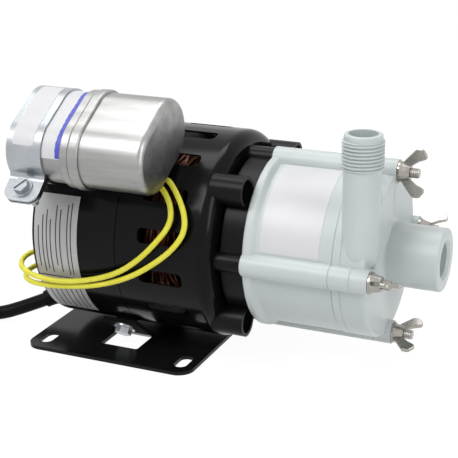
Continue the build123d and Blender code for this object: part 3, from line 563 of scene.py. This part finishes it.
# round the capacitor's oval of straights and half circles: s is the way in mm along its edge from
# the middle of the end by the clamp's ears over the upper flat, and lift stands off the surface
def aroundOval(x, s, size, lift):
    half, r = (size[0] - size[1]) / 2, size[1] / 2
    turn = math.radians(capacitor["turn"])
    arc = math.pi * r / 2
    near, far = np.minimum(s, arc) / r, np.maximum(s - arc - 2 * half, 0) / r
    flat = np.clip(s - arc, 0, 2 * half)
    u = capacitor["u"] - half + flat + (r + lift) * (np.sin(far) - np.cos(near))
    n = capacitor["n"] + (r + lift) * np.sin(near) * np.cos(far)
    y = u * math.cos(turn) - n * math.sin(turn)
    z = axisHeight + u * math.sin(turn) + n * math.cos(turn)
    return np.stack(np.broadcast_arrays(x, y, z), -1)


# a sheet on the oval: at each s it reaches from one x edge to the other
def ovalSheet(name, size, s, left, right, lift=sheets["gap"], thick=sheets["ovalThick"]):
    t = np.linspace(0, 1, sheets["ovalRows"])[:, None]
    x = left[None] + (right - left)[None] * t
    ss = np.broadcast_to(s[None], x.shape)
    low, high = aroundOval(x, ss, size, lift), aroundOval(x, ss, size, lift + thick)
    return thickSheets(name, [(low, high)])


capLabels = {"clampX": (-36.2, -23.4), "clampS": (15.8, 58.6), "clampSteps": 90, "corner": 1.8,
             "canX": (-19.0, -8.0), "canS": (9.4, 61.5), "canSteps": 60}


def makeCapLabels(c):
    s = np.linspace(*c["clampS"], c["clampSteps"])
    corner = c["corner"]        # rounded corners draw the x edges in near both ends
    inset = np.maximum(corner - np.minimum(s - s[0], s[-1] - s), 0)
    draw = corner - np.sqrt(np.maximum(corner ** 2 - inset ** 2, 0))
    label = ovalSheet("clampLabel", capacitor["clamp"], s,
                      c["clampX"][0] + draw, c["clampX"][1] - draw)
    finishPiece(label, paperWhite, "housing", "capacitor_metal")
    s = np.linspace(*c["canS"], c["canSteps"])
    left, right = (np.full_like(s, x) for x in c["canX"])
    finishPiece(ovalSheet("canLabel", capacitor["can"], s, left, right),
                paperWhite, "housing", "capacitor_metal")


makeCapLabels(capLabels)

markerStripe = {"x": -9.5, "half": 1.5, "s": (9.8, 60.0), "steps": 120, "taper": 9,
                "thinnest": 0.35, "limit": -7.95, "lift": 0.14, "thick": 0.05,
                "leftWaves": [(0.22, 0.31, 0), (0.12, 1.7, 0)],     # mm, radians per mm, start
                "rightWaves": [(0.15, 0.23, 1), (0.14, 2.3, 0)]}


# a marker line drawn by hand: both edges waver by sums of sines of s, and it thins out at its end
def makeStripe(c):
    s = np.linspace(*c["s"], c["steps"])
    half = c["half"] * np.clip((s[-1] - s) / c["taper"] + c["thinnest"], 0, 1)
    left, right = (sum(high * np.sin(s * rate + start) for high, rate, start in c[side])
                   for side in ("leftWaves", "rightWaves"))
    stripe = ovalSheet("markerStripe", capacitor["can"], s, c["x"] - half + left,
                       np.minimum(c["x"] + half + right, c["limit"]), c["lift"], c["thick"])
    finishPiece(stripe, markerInk, "housing", "capacitor_metal")


makeStripe(markerStripe)

print("stage: windings and discharge thread")

windings = {"wires": 84, "steps": 90, "radius": 1.15, "sides": 6, "seed": 7,
            "ends": {"front": (22.4, 38.4), "rear": (-16.4, -32.4)},
            "ring": (32.5, 13.6), "ringLimits": (31.4, 47.2), "depthLimits": (0.03, 0.97),
            "sway": [(3, 1.6), (6, 0.9)],       # waves a turn and mm, in the ring's radius
            "lean": [(4, 0.09), (9, 0.035)],    # waves a turn and share of the depth
            "up": (0.0, 0.12, 0.99)}


# each wire circles the axis in a bundle: its ring radius and its depth sway by sums of slow waves
def makeWindings(w):
    rng = np.random.default_rng(w["seed"])
    angle = np.linspace(0, 360, w["steps"])
    a = np.radians(angle)[None]
    for end, (near, far) in w["ends"].items():
        spots = rng.uniform(0, 1, (w["wires"], 2))
        phase = rng.uniform(0, 2 * np.pi, (w["wires"], 4))
        sway, lean = (sum(np.sin(rate * a + phase[:, first + i:first + i + 1]) * size
                          for i, (rate, size) in enumerate(waves))
                      for first, waves in ((0, w["sway"]), (2, w["lean"])))
        inner, reach = w["ring"]
        ring = np.clip(inner + reach * spots[:, :1] + sway, *w["ringLimits"])
        x = near + (far - near) * np.clip(spots[:, 1:] + lean, *w["depthLimits"])
        piece = tubes(end + "Windings", aroundAxis(x, ring, angle[None]), w["radius"],
                      w["sides"], w["up"])
        finishPiece(piece, copperWire, "housing", "copper", "stator_windings")


makeWindings(windings)

thread = {"x": 139.1, "y": -34.85, "top": 135.2, "low": 120.6, "root": 9.62, "crest": 10.66,
          "pitch": 1.814, "groove": 0.4, "depth": 1.25, "collar": 2.2, "runIn": 0.7,
          "rounding": 0.6, "underRoot": 0.25, "steps": (240, 120),
          "cutOutside": 10.2, "cutPast": 0.2, "merge": 1e-6}


# the groove climbs one pitch a turn: the radius is the crest less a bell-shaped groove wherever the
# height less the turned share of the pitch comes near a groove's middle, and both ends round off to
# the root
def makeThread(t):
    z = np.linspace(t["low"], t["top"], t["steps"][0])
    angle = np.linspace(0, 2 * np.pi, t["steps"][1], endpoint=False)
    zz, aa = np.meshgrid(z, angle, indexing="ij")
    below = t["top"] - t["collar"] - zz + t["pitch"] * aa / (2 * np.pi)
    off = (below + t["pitch"] / 2) % t["pitch"] - t["pitch"] / 2
    bell = np.exp(-(off / t["groove"]) ** 2)
    cut = t["depth"] * bell * np.clip(below / t["pitch"] + t["runIn"], 0, 1)
    edge = np.clip(np.minimum(zz - t["low"], t["top"] - zz) / t["rounding"], 0, 1)
    r = t["root"] + (t["crest"] - t["root"]) * np.sqrt(1 - (1 - edge) ** 2)
    r = np.maximum(r - cut * edge, t["root"] - t["underRoot"])
    return np.stack([t["x"] + r * np.cos(aa), t["y"] + r * np.sin(aa), zz], -1)


# the cover is a merged copy of its solid without the plain cylinder that stands for the thread,
# and the thread's own surface closes the gap; the solid's shading is carried over the merge
def makeCover(t):
    mesh = nodes["volute_cover"].data.copy()
    piece = linked("voluteCover", mesh)
    normals = np.empty(len(mesh.loops) * 3)
    mesh.corner_normals.foreach_get("vector", normals)
    carried = mesh.attributes.new("solidNormal", "FLOAT_VECTOR", "CORNER")
    carried.data.foreach_set("vector", normals)
    bm = bmesh.new()
    bm.from_mesh(mesh)
    bmesh.ops.remove_doubles(bm, verts=bm.verts, dist=t["merge"])
    far = [v for v in bm.verts
           if t["low"] - t["cutPast"] < v.co.z / mm < t["top"] + t["cutPast"]
           and math.hypot(v.co.x / mm - t["x"], v.co.y / mm - t["y"]) > t["cutOutside"]]
    bmesh.ops.delete(bm, geom=far, context="VERTS")
    bm.to_mesh(mesh)
    bm.free()
    carried = mesh.attributes["solidNormal"]
    normals = np.empty(len(mesh.loops) * 3)
    carried.data.foreach_get("vector", normals)
    mesh.attributes.remove(carried)
    mesh.normals_split_custom_set(normals.reshape(-1, 3).tolist())
    finishPiece(piece, whitePolymer, "housing", "white_plastic", "volute_cover")
    finishPiece(gridPiece("dischargeThread", makeThread(t), wrapColumns=True),
                whitePolymer, "housing", "white_plastic")


makeCover(thread)

studThread = {"circle": 45.0, "from": 154.0, "to": 158.1, "root": 2.42, "crest": 2.66,
              "pitch": 0.9, "runOut": 0.5, "steps": (56, 28),
              "places": {"Back": 0, "Top": 90, "Front": 180, "Bottom": 270}}


# a fine thread on each stud's tip: the radius is a wave of x less the turned share of the pitch,
# and it fades out to the root at both ends
def makeStudThreads(t):
    x = np.linspace(t["from"], t["to"], t["steps"][0])
    a = np.linspace(0, 2 * np.pi, t["steps"][1], endpoint=False)
    xx, aa = np.meshgrid(x, a, indexing="ij")
    wave = 0.5 + 0.5 * np.cos(2 * np.pi * (xx / t["pitch"] - aa / (2 * np.pi)))
    ends = np.clip(np.minimum(xx - t["from"], t["to"] - xx) / t["runOut"], 0, 1)
    r = t["root"] + (t["crest"] - t["root"]) * wave * ends
    for place, quarter in t["places"].items():
        turn = math.radians(quarter)
        y, z = t["circle"] * math.cos(turn), axisHeight + t["circle"] * math.sin(turn)
        points = np.stack([xx, y + r * np.cos(aa), z + r * np.sin(aa)], -1)
        tip = gridPiece("studThread" + place, points, wrapColumns=True)
        finishPiece(tip, stainless, "housing", "stainless")


makeStudThreads(studThread)
